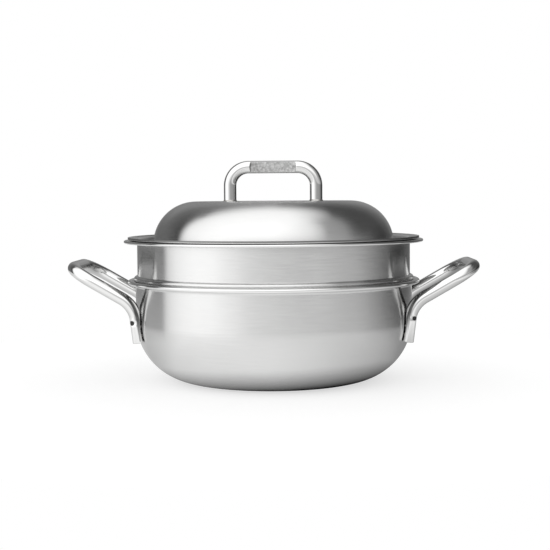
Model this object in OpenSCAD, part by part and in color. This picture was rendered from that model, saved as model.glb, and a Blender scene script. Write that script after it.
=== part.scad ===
// Multi-cooker pot: a clad pot with two rod handles, a steamer insert and a domed lid.
// Millimetres, +Z up. The origin is on the pot's axis at the bottom of the base.
// The side handles lie along X.

/* [Pot] */
// Inside diameter of the pot's wall
pot_inner_d = 240; // [200:1:280]
// Height from the base to the top of the rolled rim
pot_h = 90.4; // [84:0.2:120]
// Outside radius of the rounded bottom corner
pot_corner_r = 54; // [40:0.5:58]
// Thickness of the steel liner
liner_t = 0.5; // [0.4:0.1:0.8]
// Thickness of the aluminium core
core_t = 1.3; // [0.8:0.1:2]
// Thickness of the steel outer skin
skin_t = 0.6; // [0.4:0.1:1]
// Radius of the rolled edge of the rim
rim_roll_r = 1.9; // [1.7:0.1:2.2]
// How far the rim stands out from the wall
rim_out = 6.7; // [6.4:0.1:9]
// Radius of the rim's inner shoulder, where the insert seats
rim_shoulder_r = 5; // [4.4:0.1:5.2]
// Height of the rolled edge's top above the shoulder's top
rim_roll_rise = 0.8; // [0.4:0.1:1]

/* [Side handles] */
// Diameter of the handle rod
side_rod_d = 11; // [9:0.5:12]
// Distance between the two legs, centre to centre
side_leg_gap = 86; // [74:1:100]
// Distance of the bar's centre from the pot's wall
side_reach = 51.9; // [48:0.1:62]
// Height of the bar's centre above the rim
side_rise = 11.4; // [6:0.2:16]
// Slope of the legs above the horizontal, in degrees
side_slope = 30; // [27:1:34]
// Centre-line radius of the corners between bar and legs
side_corner_r = 22.5; // [16:0.5:28]
// Centre-line radius of the bend above each foot
side_bend_r = 25; // [18:1:28]
// Lean of the feet towards the base, in degrees
foot_lean = 7; // [4:1:9]
// Distance of the foot's centre line from the wall
foot_standoff = 2.4; // [2:0.1:4]
// Depth of the feet's lower ends below the rim
foot_drop = 52.8; // [50:0.2:60]
// How much thicker than the rod the feet are, on the radius
foot_swell = 0.1; // [0.1:0.05:0.3]
// Depth of the flat pressed on each foot, at the foot's lower end
foot_flat_depth = 1; // [0.4:0.1:1.6]
// Taper of the flat towards the top of the foot, in degrees
foot_flat_taper = 2; // [0:0.5:2.5]
// How far the flat is turned from the foot's outside, away from the bow's middle, in degrees
foot_flat_turn = 66; // [0:1:70]
// Diameter of each weld nugget
nugget_d = 5; // [3:0.5:6]
// Height of the first nugget above the foot's lower end
nugget_first = 6; // [4:0.5:8]
// Distance between the two nuggets of a foot
nugget_pitch = 8; // [6:0.5:9]

/* [Steamer insert] */
// Thickness of the insert's sheet
insert_t = 1; // [0.8:0.1:1.2]
// Radial room between the insert's skirt and the pot's wall
skirt_room = 2.4; // [1.5:0.1:3]
// How far the upper wall's outside stands out from the pot's inside
insert_wall_out = 0.8; // [0:0.1:0.9]
// How far the seating bead stands out from the pot's inside
bead_out = 3.9; // [3.8:0.1:4.4]
// Centre-line radius of the seating bead
bead_r = 2; // [1.6:0.1:2.1]
// Centre-line radius of the curves into the seating bead
bead_blend_r = 1; // [0.8:0.1:1]
// Height of the flange's shoulder above the pot's rim
insert_rise = 35.4; // [25:0.2:60]
// Depth of the perforated floor below the pot's rim
insert_depth = 50; // [40:1:60]
// Centre-line radius between the skirt and the floor
insert_corner_r = 12; // [10:1:24]
// Centre-line radius of the flange's shoulder
flange_shoulder_r = 2.5; // [1.5:0.1:3]
// How far the flange's edge stands out from the upper wall
flange_out = 11.6; // [9:0.2:16]
// Fall of the flange towards its edge, in degrees
flange_fall = 8; // [4:1:12]
// Radius of the flange's rolled edge
flange_roll_r = 1.2; // [0.8:0.1:1.6]
// Diameter of the steam holes
steam_hole_d = 4; // [3:0.5:6]
// Distance between rings of steam holes
steam_hole_pitch = 14; // [10:1:20]

/* [Lid] */
// Thickness of the lid's sheet
lid_t = 1; // [0.8:0.1:1.2]
// Height of the lid's top above the insert's shoulder
lid_rise = 33.23; // [26:0.2:44]
// Centre-line radius of the dome's round shoulder
dome_shoulder_r = 37.5; // [30:0.5:44]
// How far inside the insert's mouth the dome's widest line lies
dome_inset = 13.7; // [11:0.1:24]
// Centre-line radius of the groove round the dome
groove_r = 4; // [3:0.25:5]
// Lean of the groove's outer wall, in degrees
groove_lean = 20; // [12:1:30]
// Centre-line radius between the groove and the brim
brim_bend_r = 3; // [2:0.1:4]
// Rise of the brim towards its edge, in degrees
brim_lift = 3; // [1:1:4]
// How far the brim's edge stands out from the insert's inside
brim_out = 9.1; // [8:0.1:13]
// Radius of the brim's rolled edge
brim_roll_r = 1.1; // [0.8:0.1:1.3]

/* [Lid handle] */
// Diameter of the lid handle's rod
lid_rod_d = 11.1; // [8:0.1:12]
// Distance between the two legs, centre to centre
lid_leg_gap = 76.4; // [60:0.2:90]
// Height of the bar's top above the lid
lid_handle_h = 35.6; // [30:0.2:44]
// Centre-line radius of the corners between bar and legs
lid_corner_r = 16.5; // [10:0.5:20]
// Length of the flat on the front of the bar
bar_flat_l = 42; // [20:1:42]
// Depth of the flat on the front of the bar
bar_flat_depth = 2.2; // [0.6:0.1:2.6]
// Size of the weld fillet round each leg
lid_weld_w = 0.8; // [0.5:0.1:1.5]

/* [Fits] */
// Bond line between two layers of the pot
bond_gap = 0.05; // [0.02:0.01:0.1]
// Gap between the lid and the lid handle's legs
weld_gap = 0.4; // [0.3:0.05:0.6]
// Gap between the pot's wall and the side handles' feet
foot_gap = 1; // [0.3:0.1:1.2]
// Clearance of weld metal from the pieces that it joins
weld_clear = 0.02; // [0.01:0.01:0.05]
// Gap at rest between a lifted piece and its seat
seat_gap = 0.25; // [0.2:0.05:0.4]
// Radial play of the lid's groove in the insert's mouth
lid_play = 0.7; // [0.5:0.1:1.5]

/* [Hidden] */

// Finish of the round shapes: segments round the axis, segments of a rod, degrees per step of an arc
turn_fn = 128;
rod_fn = 48;
arc_step = 5;
// Length by which a cutting shape runs past what it cuts
cut_over = 1;

// Pot: radii, heights and the centre line of its wall
pot_t = liner_t + core_t + skin_t + 2 * bond_gap;
pot_inner_r = pot_inner_d / 2;
pot_outer_r = pot_inner_r + pot_t;
rim_edge_r = pot_outer_r + rim_out;
rim_roll = [rim_edge_r - rim_roll_r, pot_h - rim_roll_r];
rim_centre = [pot_inner_r + rim_shoulder_r, pot_h - rim_roll_rise - rim_shoulder_r];
pot_corner = [pot_outer_r - pot_corner_r, pot_corner_r];
pot_bottom_arc = [pot_corner, pot_corner_r - pot_t / 2, 270, 360];
rim_arc = [rim_centre, rim_shoulder_r - pot_t / 2, 180, 90];
rim_line_z = rim_centre[1] + rim_shoulder_r - pot_t / 2;
layer_end_r = rim_roll[0] - rim_roll_r - bond_gap;

// Side handle: bar centre, foot line, and the bend where foot and leg meet, all as [x, z]
side_half = side_leg_gap / 2;
side_bar = [pot_outer_r + side_reach, pot_h + side_rise];
foot_ref = [sqrt(pow(pot_outer_r + foot_standoff, 2) - pow(side_half, 2)), pot_corner_r];
leg_run = 1 / tan(side_slope);
foot_run = tan(foot_lean);
leg_base = side_bar[0] - leg_run * side_bar[1];
foot_base = foot_ref[0] - foot_run * foot_ref[1];
elbow_z = (foot_base - leg_base) / (leg_run - foot_run);
elbow = [foot_base + foot_run * elbow_z, elbow_z];
bend_turn = 90 - foot_lean - side_slope;
bend_tangent = side_bend_r * tan(bend_turn / 2);
foot_top = elbow - bend_tangent * [sin(foot_lean), cos(foot_lean)];
side_leg_l = rounded(norm(side_bar - elbow) - bend_tangent);
foot_l = rounded((foot_top[1] - pot_h + foot_drop) / cos(foot_lean));
foot_lap = rounded(sqrt(foot_swell * side_bend_r));

// Steamer insert: centre-line radii, seat of the bead on the rim, flange
insert_wall_r = pot_inner_r + insert_wall_out - insert_t / 2;
insert_inner_r = insert_wall_r - insert_t / 2;
skirt_r = pot_inner_r - skirt_room - insert_t / 2;
insert_floor_z = pot_h - insert_depth;
insert_corner = [skirt_r - insert_corner_r, insert_floor_z + insert_corner_r];
bead_r_out = bead_r + insert_t / 2;
bead_centre_r = pot_inner_r + bead_out - bead_r_out;
bead_reach = rim_shoulder_r + bead_r_out + seat_gap;
bead_centre_z = rim_centre[1] + sqrt(pow(bead_reach, 2) - pow(rim_centre[0] - bead_centre_r, 2));
bead_centre = [bead_centre_r, bead_centre_z];
flange_top_z = pot_h + insert_rise;
flange_centre = [insert_wall_r + flange_shoulder_r, flange_top_z - flange_shoulder_r - insert_t / 2];
flange_start = flange_centre + flange_shoulder_r * [sin(flange_fall), cos(flange_fall)];
flange_roll_at = insert_wall_r + insert_t / 2 + flange_out - flange_roll_r;
flange_roll = [flange_roll_at, flange_start[1] - (flange_roll_at - flange_start[0]) * tan(flange_fall)];
steam_rings = floor((insert_corner[0] - steam_hole_d) / steam_hole_pitch);

// Lid: levels, dome, groove and brim
lid_top_z = flange_top_z + lid_rise;
brim_z = flange_top_z + seat_gap + lid_t / 2;
dome_max_r = insert_inner_r - dome_inset;
dome_centre = [dome_max_r - dome_shoulder_r, lid_top_z - lid_t / 2 - dome_shoulder_r];
brim_centre = [
    insert_inner_r - lid_play + (brim_bend_r - lid_t / 2) * cos(groove_lean),
    brim_z - brim_bend_r
];
groove_outer = brim_centre + (groove_r + brim_bend_r) * [-cos(groove_lean), sin(groove_lean)];
dome_end = asin((groove_outer[1] - dome_centre[1]) / (dome_shoulder_r + groove_r));
groove_inner = dome_centre + (dome_shoulder_r + groove_r) * [cos(dome_end), sin(dome_end)];
brim_start = brim_centre + brim_bend_r * [-sin(brim_lift), cos(brim_lift)];
brim_roll_at = insert_inner_r + brim_out - brim_roll_r;
brim_roll = [brim_roll_at, brim_start[1] + (brim_roll_at - brim_start[0]) * tan(brim_lift)];

// Lid handle: height of the bar's centre above the lid, and the length of its legs
lid_bar_z = lid_handle_h - lid_rod_d / 2;
lid_leg_l = lid_bar_z - weld_gap;

// A wall's centre line is [[start, heading], arcs, [end, heading]], with the axis at x = 0.
// An arc is [centre, radius, first angle, last angle]. Straight runs join one arc to the next.
function pot_line_to(end_r) = [
    [[0, pot_t / 2], 0],
    [pot_bottom_arc, rim_arc],
    [[end_r, rim_line_z], 0]
];
insert_line = [
    [[0, insert_floor_z + insert_t / 2], 0],
    [
        [insert_corner + [0, insert_t / 2], insert_corner_r, 270, 360],
        [[skirt_r + bead_blend_r, bead_centre[1] - bead_r - bead_blend_r], bead_blend_r, 180, 90],
        [bead_centre, bead_r, 270, 450],
        [[insert_wall_r + bead_blend_r, bead_centre[1] + bead_r + bead_blend_r], bead_blend_r, 270, 180],
        [flange_centre, flange_shoulder_r, 180, 90 - flange_fall]
    ],
    [flange_roll, -flange_fall]
];
lid_line = [
    [[0, lid_top_z - lid_t / 2], 0],
    [
        [dome_centre, dome_shoulder_r, 90, dome_end],
        [groove_inner, groove_r, 180 + dome_end, 270],
        [groove_outer, groove_r, 270, 360 - groove_lean],
        [brim_centre, brim_bend_r, 180 - groove_lean, 90 + brim_lift]
    ],
    [brim_roll, brim_lift]
];

// Points of an arc, moved by side to the right of the way it runs
function arc_points(arc, side) =
    let (
        sweep = arc[3] - arc[2],
        steps = max(2, ceil(abs(sweep) / arc_step)),
        radius = arc[1] + side * sign(sweep)
    )
    [for (k = [0:steps]) let (a = arc[2] + sweep * k / steps) arc[0] + radius * [cos(a), sin(a)]];

// An end point of a centre line, moved by side to the right of its heading
function end_point(end, side) = end[0] + side * [sin(end[1]), -cos(end[1])];

// A whole centre line, moved by side to its right
function rail(line, side) = concat(
    [end_point(line[0], side)],
    [for (arc = line[1]) each arc_points(arc, side)],
    [end_point(line[2], side)]
);

// Keeps a length to a whole micrometre
function rounded(length) = round(length * 1000) / 1000;

function reversed(list) = [for (k = [len(list) - 1:-1:0]) list[k]];

// Section of a sheet that lies between two offsets from a centre line
module sheet(line, side_a, side_b) {
    polygon(concat(rail(line, side_a), reversed(rail(line, side_b))));
}

module disc_at(centre, radius, fn = rod_fn) {
    translate(centre)
        circle(r = radius, $fn = fn);
}

// The pot's outside without its rim, grown by gap
module pot_outside(gap) {
    top = pot_h + side_rise;
    rotate_extrude($fn = turn_fn) {
        disc_at(pot_corner, pot_corner_r + gap, turn_fn);
        translate([0, pot_corner[1]])
            square([pot_outer_r + gap, top - pot_corner[1]]);
        translate([0, -gap])
            square([pot_corner[0], pot_corner[1] + gap]);
    }
}

// A bow of bent rod in the XY plane: bar along Y at x = 0, legs along +X
module rod_bow(half_w, corner_r, leg_l, rod_d) {
    bar_l = 2 * (half_w - corner_r);
    translate([0, -bar_l / 2, 0])
        rotate([-90, 0, 0])
            cylinder(d = rod_d, h = bar_l, $fn = rod_fn);
    for (side = [-1, 1]) {
        translate([corner_r, side * bar_l / 2, 0])
            rotate(side > 0 ? 90 : 180)
                rotate_extrude(angle = 90, $fn = turn_fn)
                    disc_at([corner_r, 0], rod_d / 2);
        translate([corner_r, side * half_w, 0])
            rotate([0, 90, 0])
                cylinder(d = rod_d, h = leg_l - corner_r, $fn = rod_fn);
    }
}

// Places the side handle's bow at the bar, with its legs running down to the wall
module at_side_bar() {
    translate([side_bar[0], 0, side_bar[1]])
        rotate([0, 180 - side_slope, 0])
            children();
}

// In the bow's frame, the centre of the bend below a leg
module at_bend(side) {
    translate([side_leg_l, side * side_half, side_bend_r])
        children();
}

// In the bow's frame, the top of a foot: X runs down the foot and Z outwards
module at_foot(side) {
    at_bend(side)
        rotate([0, -bend_turn, 0])
            translate([0, 0, -side_bend_r])
                children();
}

module handle_bend(side) {
    at_bend(side)
        rotate([90, 0, 0])
            rotate(-90)
                rotate_extrude(angle = bend_turn, $fn = turn_fn)
                    disc_at([side_bend_r, 0], side_rod_d / 2);
}

// A foot takes in the last of the bend
module handle_foot(side) {
    at_foot(side)
        translate([-foot_lap, 0, 0])
            rotate([0, 90, 0])
                cylinder(d = side_rod_d + 2 * foot_swell, h = foot_l + foot_lap, $fn = rod_fn);
}

// The flat starts at the top of the foot and runs out past its lower end
module foot_flat(side) {
    at_foot(side)
        rotate([-side * foot_flat_turn, 0, 0])
            translate([foot_l, 0, side_rod_d / 2 - foot_flat_depth])
                rotate([0, foot_flat_taper, 0])
                    translate([-foot_l, -side_rod_d, 0])
                        cube([foot_l + cut_over, 2 * side_rod_d, side_rod_d]);
}

// Right-hand handle, with its feet cut to the pot's wall
module side_handle() {
    difference() {
        at_side_bar()
            difference() {
                union() {
                    rod_bow(side_half, side_corner_r, side_leg_l, side_rod_d);
                    for (side = [-1, 1]) {
                        handle_bend(side);
                        handle_foot(side);
                    }
                }
                foot_flat(-1);
                foot_flat(1);
            }
        pot_outside(foot_gap);
    }
}

// Weld nuggets between the right-hand handle's feet and the wall
module side_welds() {
    for (side = [-1, 1], k = [0, 1]) {
        along = foot_l - nugget_first - k * nugget_pitch;
        x = foot_top[0] - along * sin(foot_lean);
        z = foot_top[1] - along * cos(foot_lean);
        intersection() {
            difference() {
                pot_outside(foot_gap - weld_clear);
                pot_outside(weld_clear);
            }
            rotate(atan2(side * side_half, x))
                translate([pot_inner_r, 0, z])
                    rotate([0, 90, 0])
                        cylinder(d = nugget_d, h = pot_t + 2 * foot_standoff, $fn = rod_fn);
        }
    }
}

// Rings of steam holes, six more in each ring
module steam_holes() {
    hole_h = insert_t + 2 * cut_over;
    translate([0, 0, insert_floor_z - cut_over]) {
        cylinder(d = steam_hole_d, h = hole_h, $fn = rod_fn);
        for (ring = [1:steam_rings], k = [0:6 * ring - 1])
            rotate(60 * k / ring)
                translate([ring * steam_hole_pitch, 0, 0])
                    cylinder(d = steam_hole_d, h = hole_h, $fn = rod_fn);
    }
}

module pot_outer_skin() {
    color("silver")
        rotate_extrude($fn = turn_fn)
            sheet(pot_line_to(layer_end_r), pot_t / 2, pot_t / 2 - skin_t);
}

module pot_heat_core() {
    color("darkgray")
        rotate_extrude($fn = turn_fn)
            sheet(
                pot_line_to(layer_end_r),
                pot_t / 2 - skin_t - bond_gap,
                liner_t + bond_gap - pot_t / 2
            );
}

module pot_inner_liner() {
    color("gainsboro")
        rotate_extrude($fn = turn_fn) {
            sheet(pot_line_to(rim_roll[0]), liner_t - pot_t / 2, -pot_t / 2);
            disc_at(rim_roll, rim_roll_r);
        }
}

module right_side_handle() {
    color("lightgray")
        side_handle();
}

module left_side_handle() {
    color("lightgray")
        mirror([1, 0, 0])
            side_handle();
}

module right_handle_welds() {
    color("dimgray")
        side_welds();
}

module left_handle_welds() {
    color("dimgray")
        mirror([1, 0, 0])
            side_welds();
}

module steamer_insert() {
    color("silver")
        difference() {
            rotate_extrude($fn = turn_fn) {
                sheet(insert_line, insert_t / 2, -insert_t / 2);
                disc_at(flange_roll, flange_roll_r);
            }
            steam_holes();
        }
}

module lid_shell() {
    color("silver")
        rotate_extrude($fn = turn_fn) {
            sheet(lid_line, lid_t / 2, -lid_t / 2);
            disc_at(brim_roll, brim_roll_r);
        }
}

module lid_handle() {
    flat_y = lid_rod_d / 2 - bar_flat_depth;
    color("lightgray")
        difference() {
            translate([0, 0, lid_top_z + lid_bar_z])
                rotate([0, 90, 90])
                    rod_bow(lid_leg_gap / 2, lid_corner_r, lid_leg_l, lid_rod_d);
            translate([-bar_flat_l / 2, -flat_y - lid_rod_d, lid_top_z + lid_bar_z - lid_rod_d])
                cube([bar_flat_l, lid_rod_d, 2 * lid_rod_d]);
        }
}

// Weld metal under each leg of the lid handle, with a fillet round it
module lid_handle_welds() {
    leg_r = lid_rod_d / 2 + weld_clear;
    color("lightgray")
        for (side = [-1, 1])
            translate([side * lid_leg_gap / 2, 0, lid_top_z + weld_clear])
                difference() {
                    cylinder(r1 = leg_r + lid_weld_w, r2 = leg_r, h = weld_gap + lid_weld_w, $fn = rod_fn);
                    translate([0, 0, weld_gap - 2 * weld_clear])
                        cylinder(r = leg_r, h = weld_gap + lid_weld_w, $fn = rod_fn);
                }
}

pot_outer_skin();
pot_heat_core();
pot_inner_liner();
left_side_handle();
right_side_handle();
left_handle_welds();
right_handle_welds();
steamer_insert();
lid_shell();
lid_handle();
lid_handle_welds();
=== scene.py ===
import math

import bmesh
import bpy
from mathutils import Matrix, Vector
from mathutils.geometry import delaunay_2d_cdt


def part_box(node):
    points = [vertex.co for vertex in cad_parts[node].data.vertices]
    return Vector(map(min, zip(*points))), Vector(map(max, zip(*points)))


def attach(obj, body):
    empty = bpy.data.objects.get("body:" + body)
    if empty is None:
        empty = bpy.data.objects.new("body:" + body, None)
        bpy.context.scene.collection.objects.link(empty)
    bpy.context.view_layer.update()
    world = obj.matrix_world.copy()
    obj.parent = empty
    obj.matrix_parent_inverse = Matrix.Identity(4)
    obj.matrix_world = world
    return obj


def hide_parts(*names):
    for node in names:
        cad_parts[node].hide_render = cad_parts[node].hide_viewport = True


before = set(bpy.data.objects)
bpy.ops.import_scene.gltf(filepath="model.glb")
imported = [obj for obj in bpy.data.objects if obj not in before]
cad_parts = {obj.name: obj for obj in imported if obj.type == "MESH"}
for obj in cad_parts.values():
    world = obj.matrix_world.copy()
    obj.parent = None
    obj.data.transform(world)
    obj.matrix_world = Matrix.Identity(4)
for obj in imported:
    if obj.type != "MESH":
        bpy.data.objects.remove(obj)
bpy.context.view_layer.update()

# The object's sizes are in millimetres and degrees. Its meshes are written in metres.
MM = 0.001

# Pot: three bonded layers with a rolled rim. POT_R is its inside radius
POT_R = 120.0
SKIN_T = 0.6
CORE_T = 1.3
LINER_T = 0.5
BOND_GAP = 0.05
POT_T = SKIN_T + CORE_T + LINER_T + 2 * BOND_GAP
POT_CORNER_R = 54.0
POT_H = 90.4
# Top of the CAD mesh, a few thousandths below POT_H. The meshes of pot and side handles keep to it
POT_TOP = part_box("pot_inner_liner")[1].z / MM
RIM_OUT = 6.7
RIM_ROLL_R = 1.9
RIM_ROLL_RISE = 0.8
RIM_SHOULDER_R = 5.0

# Side handles: a bow of bent rod that ends in two pressed feet. SIDE_HALF is half the distance between the
# legs, and SIDE_REACH and SIDE_RISE place the bar's centre from the wall and the rim
SIDE_ROD_R = 5.5
SIDE_HALF = 43.0
SIDE_REACH = 51.9
SIDE_RISE = 11.4
SIDE_SLOPE = 30.0
SIDE_CORNER_R = 22.5
SIDE_BEND_R = 25.0
FOOT_LEAN = 7.0
FOOT_STANDOFF = 2.4
FOOT_DROP = 52.8
FOOT_SWELL = 0.1
FOOT_GAP = 1.0
FOOT_EDGE_R = 0.9
FOOT_FLAT = 1.0
FOOT_FLAT_TAPER = 2.0
FOOT_FLAT_TURN = 66.0
LEFT_FLAT_RISE = 0.0
RIGHT_FLAT_RISE = 3.4
# Dent that the press leaves at the top of the flat, and the share of it over which the flat comes in
DENT_L = 4.4
DENT_DEPTH = 0.45
FLAT_EASE = 0.25
# The painted shade in the dent, a dark spot: its height as a share of the dent's, and its middle and half
# width in steps round the rod
SPOT_HEIGHT = 0.95
SPOT_MIDDLE = 3
SPOT_STEPS = 4.5
# Angles between which a rod's back lies where the wall doesn't cut it
USUAL_BACK = (140, 262)
# Angles between which the wall's cut is looked for
BACK_SEARCH = (90, 270)
BACK_SEARCH_STEP = 2
# Distance from the wall's line within which a point counts as cut
WALL_TOUCH = 0.05

# Painted shade on the side handles, a darker colour where shade falls: a field on the side towards the
# wall, and a streak on the bend's flank.
# Each pair is a ramp of the angle round the rod or, for BEND and LOW, of the distance above the foot's
# straight part
PAINTED_SHADE_WALL_FROM = (148, 160)
PAINTED_SHADE_WALL_TO = (236, 250)
PAINTED_SHADE_BEND = (18, 36)
PAINTED_SHADE_STREAK_FROM = (94, 104)
PAINTED_SHADE_STREAK_TO = (124, 136)
PAINTED_SHADE_STREAK_LOW = (-14, 6)
# Degrees that the streak turns towards the wall for each millimetre above its low ramp
PAINTED_SHADE_STREAK_TURN = 1.2

# Steamer insert. Its rise and depth are taken from the pot's rim, the places of its skirt, wall and bead
# from the pot's inside, and FLANGE_OUT from its own wall
INSERT_T = 1.0
INSERT_RISE = 35.4
INSERT_DEPTH = 50.0
INSERT_CORNER_R = 12.0
INSERT_WALL_OUT = 0.8
SKIRT_ROOM = 2.4
BEAD_OUT = 3.9
BEAD_R = 2.0
BEAD_BLEND_R = 1.0
FLANGE_OUT = 11.6
FLANGE_SHOULDER_R = 2.5
FLANGE_FALL = 8.0
FLANGE_ROLL_R = 1.2
STEAM_HOLE_R = 2.0
STEAM_HOLE_EDGE = 0.2
STEAM_HOLE_PITCH = 14.0

# Lid. Its rise is taken from the flange's top, and its play, inset and out from the insert's mouth
LID_T = 1.0
LID_RISE = 33.23
LID_PLAY = 0.7
DOME_R = 37.5
DOME_INSET = 13.7
GROOVE_R = 4.0
GROOVE_LEAN = 20.0
BRIM_R = 3.0
BRIM_OUT = 9.1
BRIM_LIFT = 3.0
BRIM_ROLL_R = 1.1
# Corner radii of the brim's flattened edge
HEM_LOW_R = 0.8
HEM_HIGH_R = 0.3
# Share of its face between a corner and the extra point that keeps the shading flat
HEM_END = 0.1

# Gap at rest between insert and pot, and between lid and insert
SEAT_GAP = 0.25

# Lid handle: a bow of bent rod with a milled flat on the front of its bar
LID_ROD_R = 5.55
LID_HALF = 38.2
LID_BAR_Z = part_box("lid_handle")[1].z / MM - LID_ROD_R
LID_LEG_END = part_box("lid_handle")[0].z / MM
LID_CORNER_R = 16.5
BAR_FLAT_HALF = 21.0
BAR_FLAT = 2.2
BAR_FLAT_RAMP = 1.8
# Share of the flat's depth from which it has the milled finish
MILLED_FROM = 0.5
# How far from the bar's height a point of the centre line still counts as on the bar
ON_BAR = 0.01

# Fineness of the shells: steps of a turn, of arcs and of straight runs
TURN_STEPS = 192
ARC_CHORD = 1.5
ARC_ANGLE = 8.0
RUN_STEP = 14.0
RUN_END = 0.4
LONG_RUN = 4 * RUN_END + ARC_CHORD
HOLE_STEPS = 20
# Fineness of the rods: steps round them, lengths of step along them, and steps of their bends
FLAT_STEPS = 12
FLANK_STEPS = 12
BACK_STEPS = 22
FOOT_END_STEP = 0.15
FOOT_STEP = 1.5
DENT_STEP = 0.3
SIDE_ROD_STEP = 6.0
LID_ROD_STEP = 5.0
BAR_END_STEP = 1.0
BAR_RAMP_STEP = 0.15
SIDE_BEND_STEPS = 60
SIDE_CORNER_STEPS = 32
LID_CORNER_STEPS = 28
# Edges sharper than this stay sharp, and lengths below TINY count as none
SHARP_ANGLE = 32.0
TINY = 1e-6
# Times that a range of angles is halved to find where a rod meets the wall
HALVINGS = 30
# The choice of delaunay_2d_cdt that keeps the triangles inside the border
INSIDE_BORDER = 1

# Material slots of a shell: its sheet, its rolled edge and that edge's flattened face, which holds painted
# shade
SHEET, EDGE, HEM = 0, 1, 2
# Material slots of a rod: its skin, and its milled flat or, on the side handles, its painted shade
ROD, MARKED_OR_SHADED = 0, 1


def polar(centre, radius, angle):
    a = math.radians(angle)
    return (centre[0] + radius * math.cos(a), centre[1] + radius * math.sin(a))


def slope_point(start, r, slope):
    """The point at radius r on a line that leaves start at a slope."""
    return (r, start[1] + (r - start[0]) * math.tan(math.radians(slope)))


def smooth_step(x):
    x = min(1.0, max(0.0, x))
    return x * x * (3 - 2 * x)


def ramp(x, ends):
    """0 before the first of two ends, 1 after the last, and a soft rise between them."""
    return smooth_step((x - ends[0]) / (ends[1] - ends[0]))


def hump(x, rise, fall):
    """1 between two ramps and 0 outside them. rise and fall are the ends of each ramp."""
    return ramp(x, rise) * (1 - ramp(x, fall))


def loop_edges(first, count):
    return [(first + k, first + (k + 1) % count) for k in range(count)]


def arc_points(centre, radius, first, last):
    """Points of an arc, close enough together for a smooth reflection."""
    sweep = abs(last - first)
    steps = max(math.ceil(sweep / ARC_ANGLE), math.ceil(math.radians(sweep) * radius / ARC_CHORD))
    return [polar(centre, radius, first + (last - first) * k / steps) for k in range(steps + 1)]


def rail(start, arcs, end, side):
    """A centre line moved by side to its right. start and end are (point, heading)."""
    def moved(point, heading):
        h = math.radians(heading)
        return (point[0] + side * math.sin(h), point[1] - side * math.cos(h))

    points = [moved(*start)]
    for centre, radius, first, last in arcs:
        grown = radius + side * math.copysign(1, last - first)
        points += arc_points(centre, grown, first, last)
    return points + [moved(*end)]


def filled_in(points):
    """Adds points along straight runs, with one close to each end, so that the shading stays true."""
    out = [points[0]]
    for a, b in zip(points, points[1:]):
        length = math.dist(a, b)
        if length > LONG_RUN:
            count = math.ceil(length / RUN_STEP)
            shares = [RUN_END / length] + [k / count for k in range(1, count)] + [1 - RUN_END / length]
            out += [(a[0] + (b[0] - a[0]) * s, a[1] + (b[1] - a[1]) * s) for s in shares]
        if length > TINY:
            out.append(b)
    return out


def rolled_edge(centre, radius, heading, low, high):
    """Arc round a rolled edge, from the sheet's under side to its upper side.
    low and high are those sides' distances above the roll's centre."""
    first = heading + 180 - math.degrees(math.asin(low / radius))
    last = heading + 540 - math.degrees(math.asin(high / radius))
    return arc_points(centre, radius, first, last)


class Skin:
    """Points, faces and finish of one mesh while it is built.
    grain holds a vector for each point: a direction round the piece, and a distance along it in metres.
    Its list of painted shade holds how dark each point is painted as shade, from 0 to 1."""

    def __init__(self):
        self.points = []
        self.grain = []
        self.painted_shade = []
        self.faces = []
        self.materials = []

    def add_point(self, point, turn, along, painted_shade=0.0):
        self.points.append(point)
        self.painted_shade.append(painted_shade)
        self.grain.append((math.cos(turn), math.sin(turn), along * MM))
        return len(self.points) - 1

    def add_face(self, corners, material=SHEET):
        self.faces.append(corners)
        self.materials.append(material)

    def to_object(self, name):
        mesh = bpy.data.meshes.new(name)
        mesh.from_pydata([Vector(p) * MM for p in self.points], [], self.faces)
        mesh.polygons.foreach_set("material_index", self.materials)
        grain = mesh.attributes.new("grain", "FLOAT_VECTOR", "POINT")
        grain.data.foreach_set("vector", [x for g in self.grain for x in g])
        # Painted shade: how dark each point is painted
        painted_shade = mesh.attributes.new("painted_shade", "FLOAT", "POINT")
        painted_shade.data.foreach_set("value", self.painted_shade)
        shape = bmesh.new()
        shape.from_mesh(mesh)
        bmesh.ops.recalc_face_normals(shape, faces=shape.faces)
        shape.to_mesh(mesh)
        shape.free()
        mesh.shade_smooth()
        mesh.set_sharp_from_angle(angle=math.radians(SHARP_ANGLE))
        made = bpy.data.objects.new(name, mesh)
        bpy.context.scene.collection.objects.link(made)
        return made


def lathe(runs):
    """Turns runs of (points, material) round Z. Returns the skin and the rings of its points."""
    section = list(runs[0][0])
    segments = [runs[0][1]] * (len(section) - 1)
    for points, material in runs[1:]:
        section += points[1:]
        segments += [material] * (len(points) - 1)
    skin = Skin()
    rings = []
    along = 0.0
    for k, (r, z) in enumerate(section):
        along += math.dist(section[k - 1], section[k]) if k else 0.0
        steps = TURN_STEPS if r > TINY else 1
        turns = [2 * math.pi * j / TURN_STEPS for j in range(steps)]
        rings.append([skin.add_point((r * math.cos(t), r * math.sin(t), z), t, along) for t in turns])
    for k, material in enumerate(segments):
        a, b = rings[k], rings[k + 1]
        for j, n in loop_edges(0, TURN_STEPS):
            corners = [a[j % len(a)], a[n % len(a)], b[n % len(b)], b[j % len(b)]]
            skin.add_face(list(dict.fromkeys(corners)), material)
    return skin, rings


# Pot: places on the section of its wall
pot_outer_r = POT_R + POT_T
pot_corner = (pot_outer_r - POT_CORNER_R, POT_CORNER_R)
rim_centre = (POT_R + RIM_SHOULDER_R, POT_TOP - RIM_ROLL_RISE - RIM_SHOULDER_R)
rim_roll = (pot_outer_r + RIM_OUT - RIM_ROLL_R, POT_TOP - RIM_ROLL_R)
rim_line_z = rim_centre[1] + RIM_SHOULDER_R - POT_T / 2


def pot_rail(side, end_r):
    arcs = [
        (pot_corner, POT_CORNER_R - POT_T / 2, 270, 360),
        (rim_centre, RIM_SHOULDER_R - POT_T / 2, 180, 90),
    ]
    return filled_in(rail(((0, POT_T / 2), 0), arcs, ((end_r, rim_line_z), 0), side))


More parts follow.
